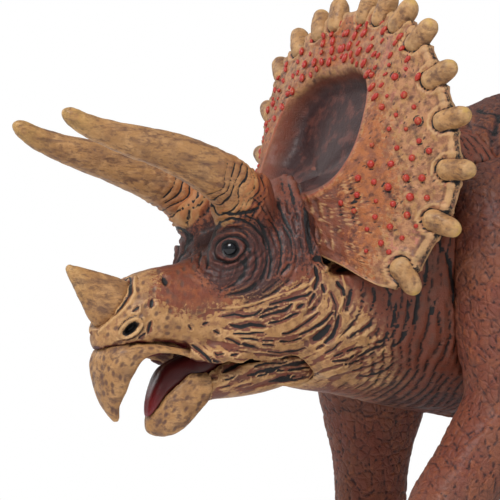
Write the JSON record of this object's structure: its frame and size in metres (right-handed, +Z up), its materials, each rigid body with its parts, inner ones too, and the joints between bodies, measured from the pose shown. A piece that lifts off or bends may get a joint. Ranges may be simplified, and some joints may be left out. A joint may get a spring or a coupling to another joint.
{
  "type": "toy dinosaur figure",
  "caption": "Standing soft plastic toy figure of a horned dinosaur with a dished, knob-edged frill, hooked beak and a lower jaw that swings.",
  "frame": {"origin": "centre of the bounding box at the height of the soles", "axes": "+Z up, the animal faces -X, its left side is -Y"},
  "size_m": [0.2606, 0.0857, 0.1363],
  "materials": {
    "body_skin": "painted brick red with dark wrinkles",
    "head_skin": "painted red-brown with tan dry-brushed ridges",
    "frill_skin": "painted orange-tan with red bumps and a dark dish",
    "horn": "painted ochre with brown flecks, satin",
    "jaw_skin": "painted tan with dark creases",
    "mouth": "wet-looking dark red",
    "eye": "glossy near-black",
    "pin": "plain steel",
    "plug": "plain moulded"
  },
  "bodies": {
    "figure": {"torso": "body_skin", "head": "head_skin", "frill": "frill_skin", "tail": "body_skin", "foreleg_left": "body_skin", "foreleg_right": "body_skin", "hindleg_left": "body_skin", "hindleg_right": "body_skin", "brow_horn_left": "horn", "brow_horn_right": "horn", "nose_horn": "horn", "upper_beak": "horn", "palate": "mouth", "eye_left": "eye", "eye_right": "eye", "jaw_pin": "pin", "neck_plug": "plug", "tail_plug": "plug"},
    "jaw": {"lower_jaw": "jaw_skin", "lower_beak": "horn", "tongue": "mouth"}
  },
  "joints": [
    {"name": "jaw_hinge", "type": "hinge", "parent": "figure", "child": "jaw", "pos_m": [-0.06903, 0, 0.066], "axis": [0, -1, 0], "range_deg": [-9, 8]}
  ]
}
